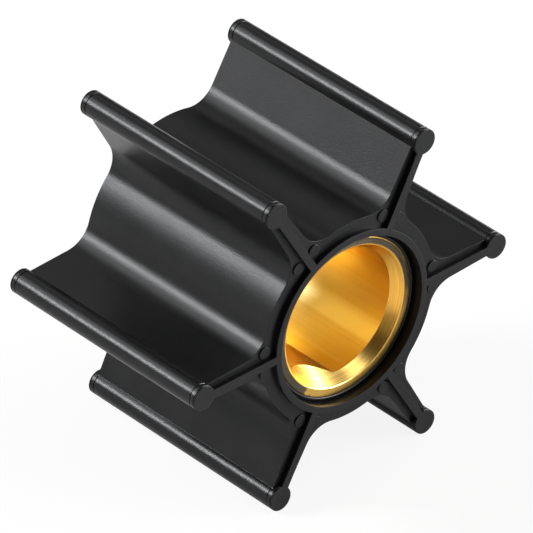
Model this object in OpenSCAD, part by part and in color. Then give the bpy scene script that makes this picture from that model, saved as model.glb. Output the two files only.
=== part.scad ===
// Flexible-vane pump impeller: a rubber moulding bonded round a brass bush.
// It lies on two vane tips, with its axis along Y, its front face towards -Y
// and its origin at its centre.

/* [Envelope] */
// Diameter over the round vane tips
tip_d = 57; // [52:0.5:64]
// Overall length along the axis
length = 38; // [30:0.5:50]

/* [Vanes] */
// Number of vanes
vane_count = 6; // [4:1:8]
// Thickness of a vane where it meets its round tip
vane_tip_t = 2.8; // [2:0.1:3.4]
// Thickness of a vane at the hub wall
vane_root_t = 3.7; // [2.6:0.1:5]
// Radius of the hollow between a vane and the hub
root_fillet_r = 4.2; // [2:0.1:5]
// Diameter of the round tip that runs along each vane
bulb_d = 3.7; // [3.5:0.1:4.6]
// Bevel round each end of a tip
bulb_bevel = 0.2; // [0.1:0.05:0.4]
// Distance of the mould's parting line from each end of a tip
parting_line_at = 0.95; // [0.6:0.05:2]
// Width of the parting line
parting_line_w = 0.14; // [0.08:0.02:0.3]
// Depth of the parting line
parting_line_depth = 0.08; // [0.04:0.02:0.2]

/* [Hub] */
// Wall of the raised ring on each end face
ring_wall = 1; // [0.6:0.1:1.6]
// Distance from the raised ring out to the hub wall between the vanes
hub_shelf_w = 1.85; // [1:0.05:3]
// Depth of the narrow groove inside the raised ring
groove_depth = 2.1; // [1.8:0.05:4]
// Width of that groove
groove_w = 0.25; // [0.15:0.05:0.6]
// Width of the rubber lip that holds the rim of the bush
lip_t = 0.5; // [0.3:0.05:0.8]
// Height of the lip over the face of the bush
lip_h = 0.1; // [0.05:0.05:0.3]

/* [End faces] */
// Depth of the hub and vane ends below the ring, the ribs and the tips
shelf_depth = 0.75; // [0.4:0.05:1.2]
// Width of the rib down the middle of each vane end
rib_t = 1.2; // [0.8:0.1:1.8]
// Diameter of the round ejector marks beside the ribs
mark_d = 1.9; // [1.2:0.1:2]
// Height of the ejector marks over the shelf
mark_h = 0.2; // [0.1:0.05:0.35]
// Gap between an ejector mark and its rib
mark_gap = 0.1; // [0.05:0.05:0.3]
// Gap between an ejector mark and the raised ring
mark_ring_gap = 0.6; // [0.3:0.1:1]

/* [Bush] */
// Distance of each bush face below the end face
bush_inset = 1.5; // [1:0.05:1.7]
// Break on the outer edges of the bush
bush_edge = 0.15; // [0.1:0.05:0.3]
// Diameter of the D-shaped bore
bore_d = 19.5; // [17:0.1:21]
// Wall of the bush round the bore
bush_wall = 2.25; // [1.6:0.05:3]
// Depth of the drive flat, measured in from the bore
flat_depth = 1; // [0.5:0.1:2]
// Vane that the drive flat faces, counted from +X
flat_vane = 4; // [0:1:5]
// Width of the lead-in at each mouth of the bore
lead_in_w = 1; // [0.5:0.1:1.2]
// Depth of the lead-in along the axis
lead_in_depth = 1.7; // [1:0.1:3]

/* [Hidden] */
$fn = 96;

vane_pitch = 360 / vane_count;
bulb_r = bulb_d / 2;
bulb_at_r = tip_d / 2 - bulb_r;
bore_r = bore_d / 2;
bush_r = bore_r + bush_wall;
lip_r = bush_r + lip_t;
counterbore_r = lip_r + groove_w;
ring_r = counterbore_r + ring_wall;
hub_r = ring_r + hub_shelf_w;
bush_length = length - 2 * bush_inset;
shelf_z = length / 2 - shelf_depth;

// Each vane side is a straight line, side_y high over the axis and falling outwards
side_slope = (vane_tip_t - vane_root_t) / 2 / (bulb_at_r - hub_r);
side_tilt = atan(side_slope);
side_y = vane_root_t / 2 - side_slope * hub_r;

// Centre of the root hollow, seen with the vane side turned level
fillet_y = side_y * cos(side_tilt) + root_fillet_r;
fillet_x = sqrt(pow(hub_r + root_fillet_r, 2) - pow(fillet_y, 2));

rubber_colour = [0.13, 0.13, 0.135];
brass_colour = [0.85, 0.62, 0.24];

// Turns the pump axis from Z to Y, with the front face towards -Y
module along_y() {
    rotate([90, 0, 0]) children();
}

// Repeats its children at every vane
module at_vanes() {
    for (i = [0 : vane_count - 1])
        rotate(i * vane_pitch) children();
}

// Repeats its children on the front and the rear half
module at_both_ends() {
    for (side = [0, 1])
        mirror([0, 0, side]) children();
}

// Hollow that blends the upper side of the vane along +X into the hub
module root_hollow() {
    rotate(side_tilt) difference() {
        polygon([[0, 0], [fillet_x, fillet_y - root_fillet_r], [fillet_x, fillet_y]]);
        translate([fillet_x, fillet_y]) circle(r = root_fillet_r);
    }
}

// Section of one vane from the axis to the middle of its round tip
module vane_section() {
    polygon([
        [0, side_y],
        [0, -side_y],
        [bulb_at_r, -vane_tip_t / 2],
        [bulb_at_r, vane_tip_t / 2]
    ]);
    root_hollow();
    mirror([0, 1]) root_hollow();
}

// Hub and vanes, up to the shelf of each end face
module hub_and_vanes() {
    linear_extrude(height = 2 * shelf_z, center = true) {
        circle(r = hub_r);
        at_vanes() vane_section();
    }
}

// Half outline of a round tip on the side of one end
function bulb_edge(side) = [
    [bulb_r, side * (length / 2 - parting_line_at - parting_line_w)],
    [bulb_r - parting_line_depth, side * (length / 2 - parting_line_at - parting_line_w)],
    [bulb_r - parting_line_depth, side * (length / 2 - parting_line_at)],
    [bulb_r, side * (length / 2 - parting_line_at)],
    [bulb_r, side * (length / 2 - bulb_bevel)],
    [bulb_r - bulb_bevel, side * length / 2],
    [0, side * length / 2]
];

// Round tip with its bevelled ends and the parting line near each end
module bulb() {
    lower = bulb_edge(-1);
    rotate_extrude() polygon(concat([for (i = [6 : -1 : 0]) lower[i]], bulb_edge(1)));
}

// Raised ring and ribs, standing over the shelf at both ends
module ring_and_ribs() {
    linear_extrude(height = length, center = true) {
        circle(r = ring_r);
        at_vanes() translate([0, -rib_t / 2]) square([bulb_at_r, rib_t]);
    }
}

// Ejector mark on each side of a rib
module ejector_marks() {
    mark_at_r = ring_r + mark_ring_gap + mark_d / 2;
    for (side = [-1, 1])
        translate([mark_at_r, side * (rib_t / 2 + mark_gap + mark_d / 2), shelf_z - mark_h])
            cylinder(d = mark_d, h = 2 * mark_h);
}

// Space inside the raised ring, which leaves the lip standing round the bush
module counterbore() {
    lip_top = -bush_inset + lip_h;
    translate([0, 0, length / 2]) rotate_extrude() difference() {
        translate([0, -groove_depth])
            square([counterbore_r, groove_depth + 1]);
        translate([bush_r, -groove_depth - 1])
            square([lip_t, groove_depth + 1 + lip_top - lip_t / 2]);
        translate([bush_r + lip_t / 2, lip_top - lip_t / 2]) circle(d = lip_t);
    }
}

module rubber_body() {
    color(rubber_colour) along_y() difference() {
        union() {
            hub_and_vanes();
            ring_and_ribs();
            at_vanes() {
                translate([bulb_at_r, 0]) bulb();
                at_both_ends() ejector_marks();
            }
        }
        at_both_ends() counterbore();
        cylinder(r = bush_r, h = length, center = true);
    }
}

// D-shaped hole, with its flat towards +X
module d_bore() {
    linear_extrude(height = length, center = true) intersection() {
        circle(d = bore_d);
        translate([-bore_d, -bore_d]) square([2 * bore_d - flat_depth - bore_r, 2 * bore_d]);
    }
}

// Cone that opens the mouth of the bore and runs in as far as the flat
module lead_in() {
    depth = lead_in_depth * (lead_in_w + flat_depth) / lead_in_w;
    translate([0, 0, bush_length / 2 - depth])
        cylinder(r1 = bore_r - flat_depth, r2 = bore_r + lead_in_w, h = depth);
}

module brass_bush() {
    color(brass_colour) along_y() rotate(flat_vane * vane_pitch) difference() {
        rotate_extrude() polygon([
            [0, -bush_length / 2],
            [bush_r - bush_edge, -bush_length / 2],
            [bush_r, -bush_length / 2 + bush_edge],
            [bush_r, bush_length / 2 - bush_edge],
            [bush_r - bush_edge, bush_length / 2],
            [0, bush_length / 2]
        ]);
        d_bore();
        at_both_ends() lead_in();
    }
}

rubber_body();
brass_bush();
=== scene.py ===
import math
import bpy
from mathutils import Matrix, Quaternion, Vector


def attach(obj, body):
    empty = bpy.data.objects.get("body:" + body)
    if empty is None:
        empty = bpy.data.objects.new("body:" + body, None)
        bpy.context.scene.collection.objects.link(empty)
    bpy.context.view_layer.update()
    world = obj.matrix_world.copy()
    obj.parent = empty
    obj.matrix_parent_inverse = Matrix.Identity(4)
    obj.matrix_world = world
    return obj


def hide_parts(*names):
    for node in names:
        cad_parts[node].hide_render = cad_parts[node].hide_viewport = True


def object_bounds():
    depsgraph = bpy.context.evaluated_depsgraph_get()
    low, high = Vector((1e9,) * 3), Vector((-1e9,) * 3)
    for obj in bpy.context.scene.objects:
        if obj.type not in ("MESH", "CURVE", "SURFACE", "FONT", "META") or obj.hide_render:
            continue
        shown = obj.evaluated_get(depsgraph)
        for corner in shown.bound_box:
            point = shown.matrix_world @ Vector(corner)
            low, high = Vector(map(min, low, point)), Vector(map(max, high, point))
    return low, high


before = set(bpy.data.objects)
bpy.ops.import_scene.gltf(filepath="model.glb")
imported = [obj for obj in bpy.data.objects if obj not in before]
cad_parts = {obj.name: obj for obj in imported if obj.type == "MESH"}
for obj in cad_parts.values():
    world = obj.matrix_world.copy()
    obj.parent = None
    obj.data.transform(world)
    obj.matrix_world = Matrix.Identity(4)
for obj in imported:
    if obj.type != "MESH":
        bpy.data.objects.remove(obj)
cadLow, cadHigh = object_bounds()
mm = 0.001  # pieces are modelled in millimetres and scaled to metres when they are finished
pointGap = 0.001  # millimetres, points closer than this become one
joinGap = 0.002  # the same after two shapes are combined
cutterRise = 0.02  # how far over an end face a cutter's mouth is widest
cutterOver = 1  # and how far over it the cutter ends


# General helpers

def deselectAll():
    if bpy.context.object and bpy.context.object.mode != "OBJECT":
        bpy.ops.object.mode_set(mode="OBJECT")
    bpy.ops.object.select_all(action="DESELECT")


def activate(piece):
    deselectAll()
    piece.select_set(True)
    bpy.context.view_layer.objects.active = piece


def editAll(piece):
    activate(piece)
    bpy.ops.object.mode_set(mode="EDIT")
    bpy.ops.mesh.select_all(action="SELECT")


def selectEdges(piece, wanted):
    # wanted gets the two end points of each edge
    activate(piece)
    bpy.ops.object.mode_set(mode="EDIT")
    bpy.ops.mesh.select_mode(type="EDGE")
    bpy.ops.mesh.select_all(action="DESELECT")
    bpy.ops.object.mode_set(mode="OBJECT")
    points = piece.data.vertices
    for edge in piece.data.edges:
        a, b = (points[i].co for i in edge.vertices)
        edge.select = wanted(a, b)
    bpy.ops.object.mode_set(mode="EDIT")


def bevelEdges(piece, width, segments, wanted):
    selectEdges(piece, wanted)
    bpy.ops.mesh.bevel(offset=width, segments=segments, profile=0.5, affect="EDGES", clamp_overlap=False)
    bpy.ops.object.mode_set(mode="OBJECT")


def tidyShell(piece, gap=pointGap):
    editAll(piece)
    bpy.ops.mesh.remove_doubles(threshold=gap)
    bpy.ops.mesh.normals_make_consistent(inside=False)
    bpy.ops.object.mode_set(mode="OBJECT")


def combine(piece, tool, operation):
    activate(piece)
    bpy.ops.object.modifier_add(type="BOOLEAN")
    cut = piece.modifiers[-1]
    cut.operation = operation
    cut.solver = "EXACT"
    cut.object = tool
    bpy.ops.object.modifier_apply(modifier=cut.name)
    bpy.data.objects.remove(tool)
    editAll(piece)
    bpy.ops.mesh.remove_doubles(threshold=joinGap)
    bpy.ops.mesh.dissolve_degenerate(threshold=pointGap)
    bpy.ops.object.mode_set(mode="OBJECT")


def joinPieces(pieces):
    deselectAll()
    for piece in pieces:
        piece.select_set(True)
    bpy.context.view_layer.objects.active = pieces[0]
    bpy.ops.object.join()
    return pieces[0]


def placedCopy(piece, turn, offset=(0, 0, 0)):
    # a copy with its own mesh, moved, then turned about the pump axis
    activate(piece)
    bpy.ops.object.duplicate()
    copy = bpy.context.object
    editAll(copy)
    bpy.ops.transform.translate(value=offset)
    bpy.ops.object.mode_set(mode="OBJECT")
    copy.rotation_euler = (0, -turn, 0)
    bpy.ops.object.transform_apply(location=True, rotation=True, scale=True)
    return copy


class OutlinePen:
    # draws an outline point by point, with straight runs and arcs

    def __init__(self, name, start, arcAxis):
        deselectAll()
        bpy.ops.mesh.primitive_plane_add(size=1)
        self.piece = bpy.context.object
        self.piece.name = name
        self.arcAxis = arcAxis
        self.at = Vector(start)
        bpy.ops.object.mode_set(mode="EDIT")
        bpy.ops.mesh.select_mode(type="VERT")
        bpy.ops.mesh.merge(type="CENTER")
        bpy.ops.transform.translate(value=self.at)

    def lineTo(self, point):
        step = Vector(point) - self.at
        if step.length > pointGap / 100:
            bpy.ops.mesh.extrude_region_move(TRANSFORM_OT_translate={"value": step})
            self.at = Vector(point)

    def arcTo(self, point, centre, steps):
        middle, point = Vector(centre), Vector(point)
        before, after = self.at - middle, point - middle
        angle = before.angle(after)
        if before.cross(after).dot(Vector(self.arcAxis)) > 0:
            angle = -angle  # spin turns clockwise about its axis
        bpy.ops.mesh.spin(steps=steps, angle=angle, center=middle, axis=self.arcAxis)
        self.at = point

    def roundedCorner(self, before, corner, after, radius, steps):
        backward, onward = (before - corner).normalized(), (after - corner).normalized()
        half = backward.angle(onward) / 2
        self.lineTo(corner + backward * radius / math.tan(half))
        centre = corner + (backward + onward).normalized() * radius / math.sin(half)
        self.arcTo(corner + onward * radius / math.tan(half), centre, steps)

    def close(self):
        bpy.ops.mesh.select_all(action="SELECT")
        bpy.ops.mesh.edge_face_add()

    def done(self):
        bpy.ops.object.mode_set(mode="OBJECT")
        return self.piece


def turnedSolid(name, corners, steps, cornerSteps=4):
    # corners lists (radius, along) from one end face to the other; a third number rounds a corner
    points = [Vector((corner[0], corner[1], 0)) for corner in corners]
    pen = OutlinePen(name, points[0], (0, 0, 1))
    for before, here, after, corner in zip(points, points[1:], points[2:], corners[1:]):
        if len(corner) > 2:
            pen.roundedCorner(before, here, after, corner[2], cornerSteps)
        else:
            pen.lineTo(here)
    pen.lineTo(points[-1])
    bpy.ops.mesh.select_all(action="SELECT")
    bpy.ops.mesh.spin(steps=steps, angle=2 * math.pi, center=(0, 0, 0), axis=(0, 1, 0))
    bpy.ops.mesh.select_all(action="SELECT")
    bpy.ops.mesh.remove_doubles(threshold=pointGap)
    bpy.ops.mesh.select_all(action="SELECT")
    bpy.ops.mesh.fill_holes(sides=0)
    piece = pen.done()
    tidyShell(piece)
    return piece


def finishPiece(piece, node, material, smoothAngle):
    tidyShell(piece, joinGap)
    editAll(piece)
    bpy.ops.transform.resize(value=(mm, mm, mm), center_override=(0, 0, 0))
    bpy.ops.object.mode_set(mode="OBJECT")
    bpy.ops.object.shade_smooth_by_angle(angle=math.radians(smoothAngle))
    bpy.ops.object.modifier_add(type="WEIGHTED_NORMAL")
    piece.modifiers[-1].keep_sharp = True
    bpy.ops.object.modifier_apply(modifier=piece.modifiers[-1].name)
    piece.data.materials.clear()
    piece.data.materials.append(material)
    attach(piece, "root")
    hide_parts(node)
    print(piece.name, len(piece.data.polygons), "faces")


# Shader helpers

class Wire:
    # an output socket that Python's own operators can work on

    def __init__(self, graph, socket):
        self.graph, self.socket = graph, socket

    def combineWith(self, operation, first, second):
        return self.graph.maths(operation, first, second)

    def __add__(self, other):
        return self.combineWith("ADD", self, other)

    def __radd__(self, other):
        return self.combineWith("ADD", other, self)

    def __sub__(self, other):
        return self.combineWith("SUBTRACT", self, other)

    def __rsub__(self, other):
        return self.combineWith("SUBTRACT", other, self)

    def __mul__(self, other):
        return self.combineWith("MULTIPLY", self, other)

    def __rmul__(self, other):
        return self.combineWith("MULTIPLY", other, self)


class AddedNode:
    # a new node whose outputs are read as wires, by number or name

    def __init__(self, graph, node):
        self.graph, self.node = graph, node

    def __getitem__(self, output):
        return Wire(self.graph, self.node.outputs[output])


class ShaderGraph:

    def __init__(self, owner):
        # owner is a material or the world
        owner.use_nodes = True
        self.owner, self.tree = owner, owner.node_tree
        self.shader = self.tree.nodes.get("Principled BSDF")

    def add(self, kind, settings=None, inputs=None):
        # settings are the node's own choices, and inputs gives its sockets a value or a wire
        node = self.tree.nodes.new(kind)
        for key, value in (settings or {}).items():
            setattr(node, key, value)
        for key, value in (inputs or {}).items():
            self.feed(node.inputs[key], value)
        return AddedNode(self, node)

    def feed(self, socket, value):
        if isinstance(value, Wire):
            self.tree.links.new(value.socket, socket)
        else:
            socket.default_value = value

    def maths(self, operation, first, second=0.0):
        return self.add("ShaderNodeMath", {"operation": operation}, {0: first, 1: second})[0]

    def vectors(self, operation, first, second=(0, 0, 0)):
        return self.add("ShaderNodeVectorMath", {"operation": operation}, {0: first, 1: second})

    def mixColours(self, share, first, second):
        mixed = self.add("ShaderNodeMix", {"data_type": "RGBA"}, {0: share, 6: first, 7: second})
        return mixed[2]

    def between(self, value, low, high):
        # 0 below low, 1 above high, smooth in the middle
        settings = {"interpolation_type": "SMOOTHSTEP"}
        return self.add("ShaderNodeMapRange", settings, {0: value, 1: low, 2: high})[0]

    def beyond(self, turn, angles):
        # 0 before the first angle, 1 past the second; turn is in radians and the angles in degrees
        low, high = (math.radians(angle) for angle in angles)
        return self.between(turn, low, high)

    def noise(self, vector, scale, detail, roughness):
        inputs = {"Vector": vector, "Scale": scale, "Detail": detail, "Roughness": roughness}
        return self.add("ShaderNodeTexNoise", {}, inputs)["Fac"]

    def addBump(self, depth, height, facing=None):
        inputs = {"Strength": 1.0, "Distance": depth, "Height": height}
        if facing:
            inputs["Normal"] = facing
        self.feed(self.shader.inputs["Normal"], self.add("ShaderNodeBump", {}, inputs)[0])

    def mirroredRay(self, ray):
        # 1 for a ray that comes off a glossy surface or through a clear one
        return self.maths("MAXIMUM", ray["Is Glossy Ray"], ray["Is Transmission Ray"])


# Rubber finish

rubberLook = {
    "colour": (0.004, 0.004, 0.0044, 1),
    "worn": (0.007, 0.007, 0.0075, 1),
    "gloss": 0.22,  # the shader's specular level
    "glossTint": (0.96, 0.98, 1.0, 1),
    "roughness": 0.275,
    "tipRoughness": 0.25,
    "tipAt": (0.022, 0.026),  # metres from the axis, where the finish of the round tips comes in
    "endRoughness": 0.42,
    "endAt": (0.0186, 0.0189),  # metres along the axis, where that of the end faces comes in
    "cloud": (140.0, 5.0, 0.6),  # scale, detail and roughness of the noise
    "cloudWorn": (0.35, 0.75),
    "cloudRoughness": 0.06,
    "grain": (4200.0, 2.0, 0.6),
    "grainRoughness": 0.09,
    "grainDepth": 0.000016,
}


def rubberMaterial(look):
    graph = ShaderGraph(bpy.data.materials.new("rubber"))
    shell = graph.shader
    place = graph.add("ShaderNodeTexCoord")["Object"]
    cloud = graph.noise(place, *look["cloud"])
    grain = graph.noise(place, *look["grain"])
    worn = graph.between(cloud, *look["cloudWorn"])
    graph.feed(shell.inputs["Base Color"], graph.mixColours(worn, look["colour"], look["worn"]))
    across = graph.vectors("LENGTH", graph.vectors("MULTIPLY", place, (1, 0, 1))[0])["Value"]
    along = graph.maths("ABSOLUTE", graph.add("ShaderNodeSeparateXYZ", {}, {0: place})[1])
    atTip = graph.between(across, *look["tipAt"])
    atEnd = graph.between(along, *look["endAt"])
    base = look["roughness"] + (look["tipRoughness"] - look["roughness"]) * atTip
    base = base + (look["endRoughness"] - look["roughness"]) * atEnd
    base = base + look["cloudRoughness"] * cloud + look["grainRoughness"] * grain
    graph.feed(shell.inputs["Roughness"], base)
    graph.addBump(look["grainDepth"], grain)
    shell.inputs["Specular IOR Level"].default_value = look["gloss"]
    shell.inputs["Specular Tint"].default_value = look["glossTint"]
    return graph.owner


# Brass finish

brassLook = {
    "bore": (1.0, 0.84, 0.40, 1),
    "boreDeep": (0.88, 0.60, 0.12, 1),
    "cone": (0.95, 0.63, 0.18, 1),
    "coneDeep": (0.78, 0.49, 0.12, 1),
    # painted shade: darker copies of the lead-in colours for its shaded side
    "coneSide": (0.92, 0.51, 0.10, 1),
    "coneSideDeep": (0.76, 0.39, 0.065, 1),
    "grazing": (1.0, 0.86, 0.52, 1),
    "flat": (0.80, 0.53, 0.14, 1),
    "face": (0.78, 0.48, 0.12, 1),
    "film": (0.076, 0.063, 0.045, 1),  # rubber smeared over the end face
    "filmDark": (0.018, 0.014, 0.009, 1),
    "filmMetal": 0.1,
    "boreRoughness": 0.35,
    "streakRoughness": 0.14,  # how much the drawn lines vary it
    "bandRoughness": 0.33,
    "midRoughness": 0.47,  # of the middle of the bore, which the tool leaves duller
    "midTo": 0.0065,
    "turnedRoughness": 0.28,
    "filmRoughness": 0.50,
    "streakDepth": 0.000018,
    "turningDepth": 0.000003,
    "coneLean": 0.33,  # how far the turned lead-in shines like a wider one
    # places in metres from the axis, or from the middle along it, where one finish gives way to the next
    "boreRadius": 0.00975,
    "flatAt": 0.00875,
    "wallFade": (0.00001, 0.00004),
    "flatFade": (0.00001, 0.00006),
    "coneTo": (0.01052, 0.01102),
    "rimAt": (0.01089, 0.01095),
    "edgeAt": (0.01188, 0.01192),
    "edgeCleanAt": (0.01188, 0.01196),
    "edgeWander": 0.00025,
    "faceAt": (0.01738, 0.01742),
    # turns in degrees about the axis, from +X towards +Z
    "flatTurn": 240.0,
    "flatReach": 0.5,  # cosine of the widest turn from the flat that counts
    "wipedFrom": (-129.7, -126.3),  # the end face is clean from here
    "wipedTo": (-42.05, 6.65),
    "wipedWander": 0.7,  # radians
    "edgeCleanFrom": (-128.0, -122.3),
    "edgeCleanTo": (67.1, 72.9),
    "bandFrom": (-56.0, -51.0),  # a band along the bore painted lighter as a painted highlight, with its own roughness
    "bandTo": (-46.0, -31.0),
    "coneSideFrom": (-68.0, -50.0),  # the lead-in is painted darker from here up, as painted shade
    "thickFrom": (120.3, 143.2),  # counted downwards, the film is darker from here on
    "thickShare": 0.7,
    # scale, detail and roughness of each noise, and how it is used
    "streak": (2600.0, 3.0, 0.65),
    "broad": (420.0, 2.0, 0.5),
    "drawnScale": 0.012,  # of both along the bore
    "turning": (4200.0, 1.0, 0.6),
    "turningDrift": 0.01,  # how much the turned rings change round the axis
    "smear": (700.0, 4.0, 0.65),
    "ringed": (0.35, 0.65),
    "streakShare": 0.8,
    "paleFrom": (0.6, 1.1),
    "paleShare": 0.4,
    "filmCover": (0.35, 0.75),
    "smearShare": 0.8,
    "dirtFrom": (0.6, 1.15),
}


def brassMaterial(look):
    graph = ShaderGraph(bpy.data.materials.new("brass"))
    shell = graph.shader
    coordinates = graph.add("ShaderNodeTexCoord")
    place = coordinates["Object"]
    parts = graph.add("ShaderNodeSeparateXYZ", {}, {0: place})
    across = graph.maths("SQRT", parts[0] * parts[0] + parts[2] * parts[2])
    depth = graph.maths("ABSOLUTE", parts[1])
    turn = graph.maths("ARCTAN2", parts[2], parts[0])

    # the bore is drawn along its length, the ends are turned
    scale = (1.0, look["drawnScale"], 1.0)
    drawn = graph.add("ShaderNodeMapping", {}, {"Vector": place, "Scale": scale})[0]
    streak = graph.noise(drawn, *look["streak"])
    broad = graph.noise(drawn, *look["broad"])
    drift = look["turningDrift"] * turn * across
    rings = graph.add("ShaderNodeCombineXYZ", {}, {0: across, 1: depth, 2: drift})[0]
    turning = graph.noise(rings, *look["turning"])

    # which part of the bush a point is on
    flatSide = graph.maths("COSINE", turn - math.radians(look["flatTurn"]))
    flatSide = graph.maths("MAXIMUM", flatSide, look["flatReach"])
    wall = graph.maths("MINIMUM", look["boreRadius"], graph.maths("DIVIDE", look["flatAt"], flatSide))
    inBore = 1 - graph.between(across - wall, *look["wallFade"])
    onFlat = inBore * graph.between(look["boreRadius"] - wall, *look["flatFade"])
    onCone = (1 - inBore) * (1 - graph.between(across, *look["coneTo"]))
    onFace = graph.between(depth, *look["faceAt"]) * graph.between(across, *look["rimAt"])
    onEdge = graph.between(across, *look["edgeAt"])

    # rubber left on the end face, wiped off below
    smear = graph.noise(place, *look["smear"])
    edge = turn + look["wipedWander"] * (smear - 0.5)
    wiped = graph.beyond(edge, look["wipedFrom"]) * (1 - graph.beyond(edge, look["wipedTo"]))
    cleanEdge = graph.beyond(edge, look["edgeCleanFrom"]) * (1 - graph.beyond(edge, look["edgeCleanTo"]))
    cleanEdge = cleanEdge * graph.between(across + look["edgeWander"] * smear, *look["edgeCleanAt"])
    film = graph.maths("MAXIMUM", onFace, onEdge) * (1 - wiped) * (1 - cleanEdge)
    film = film * graph.between(smear + turning, *look["filmCover"])
    # the film is darker past these turns, and its tone varies with the noise
    darkerFilm = look["thickShare"] * graph.beyond(0 - turn, look["thickFrom"])
    filmTone = graph.between(turning + look["smearShare"] * smear, *look["dirtFrom"]) * (1 - darkerFilm)

    # colours
    # painted highlight: one band of the bore is painted in the lighter bore colour
    highlightBand = inBore * graph.beyond(turn, look["bandFrom"]) * (1 - graph.beyond(turn, look["bandTo"]))
    pale = graph.between(broad + look["streakShare"] * streak, *look["paleFrom"])
    pale = look["paleShare"] * pale + highlightBand
    bore = graph.mixColours(pale, look["boreDeep"], look["bore"])
    bore = graph.mixColours(onFlat, bore, look["flat"])
    ringed = graph.between(turning, *look["ringed"])
    cone = graph.mixColours(ringed, look["coneDeep"], look["cone"])
    # painted shade: the lead-in's darker side, mixed in by turn below
    side = graph.mixColours(ringed, look["coneSideDeep"], look["coneSide"])
    cone = graph.mixColours(graph.beyond(turn, look["coneSideFrom"]), cone, side)
    bare = graph.mixColours(inBore, graph.mixColours(onFace, cone, look["face"]), bore)
    rubbed = graph.mixColours(filmTone, look["filmDark"], look["film"])
    graph.feed(shell.inputs["Base Color"], graph.mixColours(film, bare, rubbed))
    graph.feed(shell.inputs["Metallic"], 1 - (1 - look["filmMetal"]) * film)
    shell.inputs["Specular Tint"].default_value = look["grazing"]

    # gloss, and the relief of the drawn and turned lines
    middle = inBore * (1 - graph.between(depth, 0.0, look["midTo"]))
    metal = look["turnedRoughness"] + (look["boreRoughness"] - look["turnedRoughness"]) * inBore
    metal = metal + look["streakRoughness"] * inBore * (streak - 0.5)
    metal = metal + (look["bandRoughness"] - look["boreRoughness"]) * highlightBand
    metal = metal + (look["midRoughness"] - look["boreRoughness"]) * middle
    metal = metal + (look["filmRoughness"] - look["turnedRoughness"]) * film
    graph.feed(shell.inputs["Roughness"], metal)
    height = inBore * look["streakDepth"] * streak + (1 - inBore) * look["turningDepth"] * turning
    lean = look["coneLean"] * onCone * graph.maths("SIGN", parts[1])
    lean = graph.add("ShaderNodeCombineXYZ", {}, {1: lean})[0]
    facing = graph.vectors("NORMALIZE", graph.vectors("ADD", coordinates["Normal"], lean)[0])[0]
    graph.addBump(1.0, height, facing)
    return graph.owner


# Rubber moulding

moulding = {
    "vanes": 6,
    "tipRadius": 28.5,
    "halfLength": 19.0,
    "bulbRadius": 1.85,
    "vaneTip": 1.4,  # half the vane's thickness at its round tip
    "vaneRoot": 1.85,  # half its thickness at the hub wall
    "hubRadius": 15.6,
    "hubSteps": 5,
    "rootHollow": 4.2,  # radius of the hollow where a vane meets the hub
    "rootSteps": 14,
    "bulbHollow": 0.3,  # and of the one where it meets its round tip
    "bulbHollowSteps": 4,
    "bulbHollowInside": 0.03,  # this hollow runs so far into the bulb
    "vaneShort": 0.7,  # the vane ends so far short of the bulb's centre
    "shelf": 0.75,  # from the end face down to the hub's and vanes' own ends
    "shelfRound": 0.05,
    "shelfSteps": 4,
    "ringOuter": 13.75,
    "ringInner": 12.75,
    "ringSteps": 144,
    "topRound": 0.06,
    "rib": 0.6,  # half the rib's width
    "ribShort": 0.9,  # and the rib so far
    "ribRound": 0.05,
    "ribSteps": 3,
    "markRadius": 0.95,
    "markHeight": 0.2,
    "markEdge": 0.06,
    "markAt": (15.3, 1.65),
    "markSteps": 32,
    "bulbSteps": 48,
    "discEdge": 0.08,
    "discGrooveAt": 0.2,
    "discGroove": (0.07, 0.04, 0.04, 0.09),  # side and floor outwards of its middle, floor and side inwards
    "partingAt": 0.95,  # from the end of the bulb to the line where the mould halves met
    "parting": (0.08, 0.04, 0.04, 0.10),  # the same
    "lineDepth": 0.09,
    "seatRadius": 11.995,
    "lipWidth": 0.5,
    "lipFlat": 0.01,  # left unrounded on each half of the lip
    "lipTop": 1.4,
    "grooveDepth": 2.1,
    "pastMiddle": 0.5,  # how far each end's seat cutter reaches over the middle
    "cap": 0.5,  # from a turned shape's rim to its flat middle
    "smallCap": 0.3,
    "smoothAngle": 32,
}


def starOutline(size):
    # the upper side of the vane along +X, from its round tip to the valley beside it
    hub = size["hubRadius"]
    bulbAt = size["tipRadius"] - size["bulbRadius"]
    slope = (size["vaneTip"] - size["vaneRoot"]) / (bulbAt - hub)
    tilt = math.atan(slope)
    height = (size["vaneRoot"] - slope * hub) * math.cos(tilt)  # of the side line over the axis

    def turned(along, up):
        sine, cosine = math.sin(tilt), math.cos(tilt)
        return Vector((along * cosine - up * sine, 0, along * sine + up * cosine))

    rootReach = hub + size["rootHollow"]
    rootUp = height + size["rootHollow"]
    rootAlong = math.sqrt(rootReach ** 2 - rootUp ** 2)
    rootCentre = turned(rootAlong, rootUp)
    meeting = size["bulbRadius"] - size["bulbHollowInside"]
    bulbReach = meeting + size["bulbHollow"]
    bulbUp = height + size["bulbHollow"] + bulbAt * math.sin(tilt)
    bulbAlong = bulbAt * math.cos(tilt) - math.sqrt(bulbReach ** 2 - bulbUp ** 2)
    bulbCentre = turned(bulbAlong, height + size["bulbHollow"])
    bulb = Vector((bulbAt, 0, 0))
    valley = math.pi / size["vanes"]
    pen = OutlinePen("rubber_moulding", (bulbAt - size["vaneShort"], 0, 0), (0, -1, 0))
    pen.lineTo(bulb + (bulbCentre - bulb) * meeting / bulbReach)
    pen.arcTo(turned(bulbAlong, height), bulbCentre, size["bulbHollowSteps"])
    pen.lineTo(turned(rootAlong, height))
    pen.arcTo(rootCentre * hub / rootReach, rootCentre, size["rootSteps"])
    pen.arcTo((hub * math.cos(valley), 0, hub * math.sin(valley)), (0, 0, 0), size["hubSteps"])
    return pen


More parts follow.
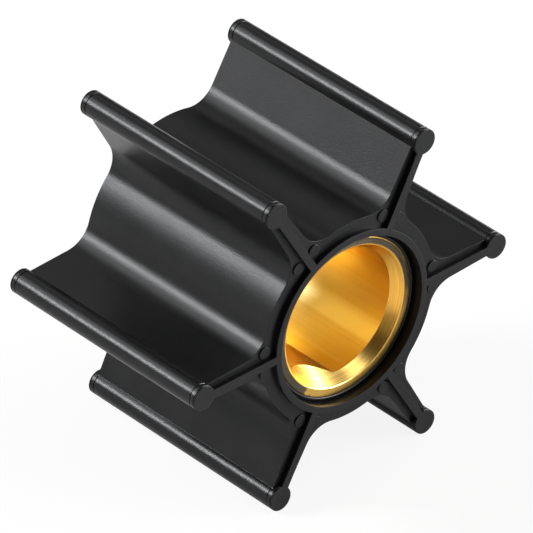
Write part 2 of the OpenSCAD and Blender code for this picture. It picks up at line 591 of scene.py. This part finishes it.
def hubAndVanes(size):
    # the upper side of a vane is mirrored, and both sides are repeated round the axis
    pen = starOutline(size)
    bpy.ops.mesh.select_all(action="SELECT")
    bpy.ops.mesh.duplicate()
    bpy.ops.transform.resize(value=(1, 1, -1), center_override=(0, 0, 0))
    bpy.ops.mesh.select_all(action="SELECT")
    bpy.ops.mesh.spin(steps=size["vanes"], angle=2 * math.pi, dupli=True, center=(0, 0, 0), axis=(0, 1, 0))
    bpy.ops.mesh.select_all(action="SELECT")
    bpy.ops.mesh.remove_doubles(threshold=pointGap)
    pen.close()
    reach = size["halfLength"] - size["shelf"]
    bpy.ops.transform.translate(value=(0, -reach, 0))
    bpy.ops.mesh.extrude_region_move(TRANSFORM_OT_translate={"value": (0, 2 * reach, 0)})
    star = pen.done()
    tidyShell(star)

    def onRim(a, b):
        return abs(abs(a.y) - reach) < pointGap and abs(a.y - b.y) < pointGap

    bevelEdges(star, size["shelfRound"], size["shelfSteps"], onRim)
    return star


def raisedRing(size):
    half, outer, soft = size["halfLength"], size["ringOuter"], size["topRound"]
    return turnedSolid("ring", [
        (outer - size["cap"], -half),
        (outer, -half, soft),
        (outer, half, soft),
        (outer - size["cap"], half),
    ], size["ringSteps"])


def ribBar(size, turn):
    # one bar right through the hub makes two opposite ribs on both end faces
    reach = size["tipRadius"] - size["bulbRadius"] - size["ribShort"]
    deselectAll()
    bpy.ops.mesh.primitive_cube_add(size=2, scale=(reach, size["halfLength"], size["rib"]))
    bar = bpy.context.object
    bpy.ops.object.transform_apply(location=True, rotation=True, scale=True)

    def isLongEdge(a, b):
        return a.y * b.y > 0 and a.z * b.z > 0 and a.x * b.x < 0

    bevelEdges(bar, size["ribRound"], size["ribSteps"], isLongEdge)
    bar.rotation_euler = (0, -turn, 0)
    activate(bar)
    bpy.ops.object.transform_apply(location=True, rotation=True, scale=True)
    return bar


def bulbSolid(size):
    half, radius = size["halfLength"], size["bulbRadius"]
    deep = radius - size["lineDepth"]

    def groove(middle, reach):
        outer, outerFloor, innerFloor, inner = reach
        walls = [(radius, middle + outer), (deep, middle + outerFloor)]
        return walls + [(deep, middle - innerFloor), (radius, middle - inner)]

    end = [(radius - size["smallCap"], half), (radius, half, size["discEdge"])]
    end += groove(half - size["discGrooveAt"], size["discGroove"])
    end += groove(half - size["partingAt"], size["parting"])
    otherEnd = [(corner[0], -corner[1], *corner[2:]) for corner in reversed(end)]
    return turnedSolid("bulb", end + otherEnd, size["bulbSteps"])


def ejectorMark(size):
    face = size["halfLength"] - size["shelf"]
    radius, top = size["markRadius"], face + size["markHeight"]
    return turnedSolid("mark", [
        (radius, face - size["markHeight"]),
        (radius, top, size["markEdge"]),
        (radius - size["smallCap"], top),
    ], size["markSteps"])


def seatCutter(size):
    # hollow for the bush, with the counterbore, the groove and the lip of one end
    half, seat, inner = size["halfLength"], size["seatRadius"], size["ringInner"]
    lipSide, lipSoft = seat + size["lipWidth"], size["lipWidth"] / 2 - size["lipFlat"]
    lipTop, bottom = half - size["lipTop"], half - size["grooveDepth"]
    flare = inner + size["smallCap"]
    return turnedSolid("seat_cutter", [
        (seat, -size["pastMiddle"]),
        (seat, lipTop, lipSoft),
        (lipSide, lipTop, lipSoft),
        (lipSide, bottom),
        (inner, bottom),
        (inner, half, size["topRound"]),
        (flare, half + cutterRise),
        (flare, half + cutterOver),
    ], size["ringSteps"])


def mirroredCopy(piece):
    activate(piece)
    bpy.ops.object.duplicate()
    copy = bpy.context.object
    editAll(copy)
    bpy.ops.transform.resize(value=(1, -1, 1), center_override=(0, 0, 0))
    bpy.ops.mesh.normals_make_consistent(inside=False)
    bpy.ops.object.mode_set(mode="OBJECT")
    return copy


def rubberMoulding(size):
    star = hubAndVanes(size)
    combine(star, raisedRing(size), "UNION")
    turns = [i * 2 * math.pi / size["vanes"] for i in range(size["vanes"])]
    for turn in turns[:size["vanes"] // 2]:
        combine(star, ribBar(size, turn), "UNION")
    bulb = bulbSolid(size)
    offset = (size["tipRadius"] - size["bulbRadius"], 0, 0)
    bulbs = [placedCopy(bulb, turn, offset) for turn in turns]
    bpy.data.objects.remove(bulb)
    combine(star, joinPieces(bulbs), "UNION")
    mark = ejectorMark(size)
    along, aside = size["markAt"]
    marks = [placedCopy(mark, turn, (along, 0, side)) for turn in turns for side in (-aside, aside)]
    bpy.data.objects.remove(mark)
    frontMarks = joinPieces(marks)
    combine(star, mirroredCopy(frontMarks), "UNION")
    combine(star, frontMarks, "UNION")
    cutter = seatCutter(size)
    combine(star, mirroredCopy(cutter), "DIFFERENCE")
    combine(star, cutter, "DIFFERENCE")
    return star


# Brass bush

bush = {
    "outer": 12.0,
    "halfLength": 17.5,
    "edge": 0.15,
    "bore": 9.75,
    "flatDepth": 1.0,
    "flatTurn": 240,  # degrees, the vane that the flat faces
    "leadWide": 1.0,
    "leadDeep": 1.7,
    "rimRound": 0.3,
    "cap": 0.5,
    "steps": 192,
    "smoothAngle": 24,
}


def brassBush(size):
    outer, half, edge = size["outer"], size["halfLength"], size["edge"]
    body = turnedSolid("brass_turned_bush", [
        (outer - size["cap"], -half),
        (outer, -half, edge),
        (outer, half, edge),
        (outer - size["cap"], half),
    ], size["steps"])
    deselectAll()
    length = 2 * (half + cutterOver)
    alongAxis = (math.pi / 2, 0, 0)
    bpy.ops.mesh.primitive_cylinder_add(
        vertices=size["steps"], radius=size["bore"], depth=length, rotation=alongAxis)
    hole = bpy.context.object
    bpy.ops.object.transform_apply(location=True, rotation=True, scale=True)
    editAll(hole)
    flatAt = size["bore"] - size["flatDepth"]
    bpy.ops.mesh.bisect(plane_co=(flatAt, 0, 0), plane_no=(1, 0, 0), clear_outer=True, use_fill=True)
    bpy.ops.object.mode_set(mode="OBJECT")
    combine(body, hole, "DIFFERENCE")
    # the lead-in cone goes on inwards until it meets the flat
    depth = size["leadDeep"] * (size["leadWide"] + size["flatDepth"]) / size["leadWide"]
    rim = size["bore"] + size["leadWide"]
    lead = turnedSolid("lead", [
        (flatAt, half - depth),
        (rim, half, size["rimRound"]),
        (rim + size["cap"], half + cutterRise),
        (rim + size["cap"], half + cutterOver),
    ], size["steps"])
    combine(body, mirroredCopy(lead), "DIFFERENCE")
    combine(body, lead, "DIFFERENCE")
    body.rotation_euler = (0, -math.radians(size["flatTurn"]), 0)
    activate(body)
    bpy.ops.object.transform_apply(location=True, rotation=True, scale=True)
    return body


print("modelling the rubber moulding")
rubber = rubberMaterial(rubberLook)
finishPiece(rubberMoulding(moulding), "rubber_body", rubber, moulding["smoothAngle"])
print("modelling the brass bush")
brass = brassMaterial(brassLook)
finishPiece(brassBush(bush), "brass_bush", brass, bush["smoothAngle"])


# Floor, light and camera

studio = {
    "floorSize": 6,
    "floorColour": 0.90,
    "floorGlow": 0.88,  # share of the floor that the camera sees as plain white
    "floorMirrored": 0.25,  # the same for reflections
    "skyLight": 0.03,
    "skyMirrored": 0.02,  # share of white that reflections see there
    "lampDistance": 1.4,
    "lamps": {  # azimuth from +X and elevation in degrees, width and height in metres, power in watts
        "key": (134, 31, 0.38, 0.32, 19.5),
        "high_key": (114, 47, 0.52, 0.40, 4.2),
        "low_back": (149, 3, 0.26, 0.20, 0.65),
        "back": (84, 36, 0.50, 0.40, 1.3),
        "back_top": (54, 40, 0.60, 0.48, 0.9),
        "right": (12, 24, 0.80, 0.60, 5.0),
        "top": (290, 70, 0.70, 0.60, 2.0),
        "through": (100, 4, 0.28, 0.28, 2.0),
        "front": (323, 8, 0.90, 0.50, 36.0),
        "front_left": (232, 12, 0.50, 0.40, 0.2),
        "mouth": (289, 43, 0.52, 0.40, 2.0),
    },
}
cameraView = {
    "lens": 496.09,
    "sensor": 36,
    "farEnd": 10,
    "distance": 1.00424,
    "azimuth": -41.28,  # degrees from straight in front, to the left
    "elevation": 34.27,
    "roll": -0.776,
    "aim": (0.000604, -0.000849, -0.000352),
}


def addFloor(look):
    deselectAll()
    bpy.ops.mesh.primitive_plane_add(size=look["floorSize"], location=(0, 0, cadLow.z))
    floor = bpy.context.object
    floor.name = "floor"
    graph = ShaderGraph(bpy.data.materials.new("floor"))
    tone = look["floorColour"]
    graph.shader.inputs["Base Color"].default_value = (tone, tone, tone, 1)
    graph.shader.inputs["Roughness"].default_value = 1.0
    graph.shader.inputs["Specular IOR Level"].default_value = 0.0
    ray = graph.add("ShaderNodeLightPath")
    mirrored = look["floorMirrored"] * graph.mirroredRay(ray)
    seen = graph.maths("MAXIMUM", look["floorGlow"] * ray["Is Camera Ray"], mirrored)
    glow = graph.add("ShaderNodeEmission", {}, {"Strength": 1.0})[0]
    lit = Wire(graph, graph.shader.outputs[0])
    mixed = graph.add("ShaderNodeMixShader", {}, {0: seen, 1: lit, 2: glow})[0]
    graph.feed(graph.tree.nodes["Material Output"].inputs["Surface"], mixed)
    floor.data.materials.append(graph.owner)


def addWorld(look):
    world = bpy.data.worlds.new("studio")
    bpy.context.scene.world = world
    graph = ShaderGraph(world)
    ray = graph.add("ShaderNodeLightPath")
    mirrored = look["skyMirrored"] * graph.mirroredRay(ray)
    seen = graph.maths("MAXIMUM", ray["Is Camera Ray"], mirrored)
    plain = (1, 1, 1, 1)
    dim = graph.add("ShaderNodeBackground", {}, {"Color": plain, "Strength": look["skyLight"]})[0]
    white = graph.add("ShaderNodeBackground", {}, {"Color": plain, "Strength": 1.0})[0]
    mixed = graph.add("ShaderNodeMixShader", {}, {0: seen, 1: dim, 2: white})[0]
    graph.feed(graph.tree.nodes["World Output"].inputs["Surface"], mixed)


def addLamp(name, azimuth, elevation, width, height, power):
    turn, rise = math.radians(azimuth), math.radians(elevation)
    towards = Vector((math.cos(turn) * math.cos(rise), math.sin(turn) * math.cos(rise), math.sin(rise)))
    deselectAll()
    bpy.ops.object.light_add(type="AREA", location=towards * studio["lampDistance"])
    lamp = bpy.context.object
    lamp.name = name
    lamp.data.shape = "RECTANGLE"
    lamp.data.size, lamp.data.size_y = width, height
    lamp.data.energy = power
    lamp.rotation_mode = "QUATERNION"
    lamp.rotation_quaternion = towards.to_track_quat("Z", "Y")
    lamp.visible_camera = False


def addCamera(view):
    turn, rise = math.radians(view["azimuth"]), math.radians(view["elevation"])
    back = Vector((math.sin(turn) * math.cos(rise), -math.cos(turn) * math.cos(rise), math.sin(rise)))
    deselectAll()
    bpy.ops.object.camera_add(location=Vector(view["aim"]) + back * view["distance"])
    camera = bpy.context.object
    camera.data.lens = view["lens"]
    camera.data.sensor_width = view["sensor"]
    camera.data.clip_end = view["farEnd"]
    roll = Quaternion(back, math.radians(view["roll"]))
    camera.rotation_mode = "QUATERNION"
    camera.rotation_quaternion = roll @ (-back).to_track_quat("-Z", "Y")
    bpy.context.scene.camera = camera


print("setting the floor, lamps and camera")
addFloor(studio)
addWorld(studio)
for name, values in studio["lamps"].items():
    addLamp(name, *values)
addCamera(cameraView)
bpy.context.scene.view_settings.view_transform = "Standard"
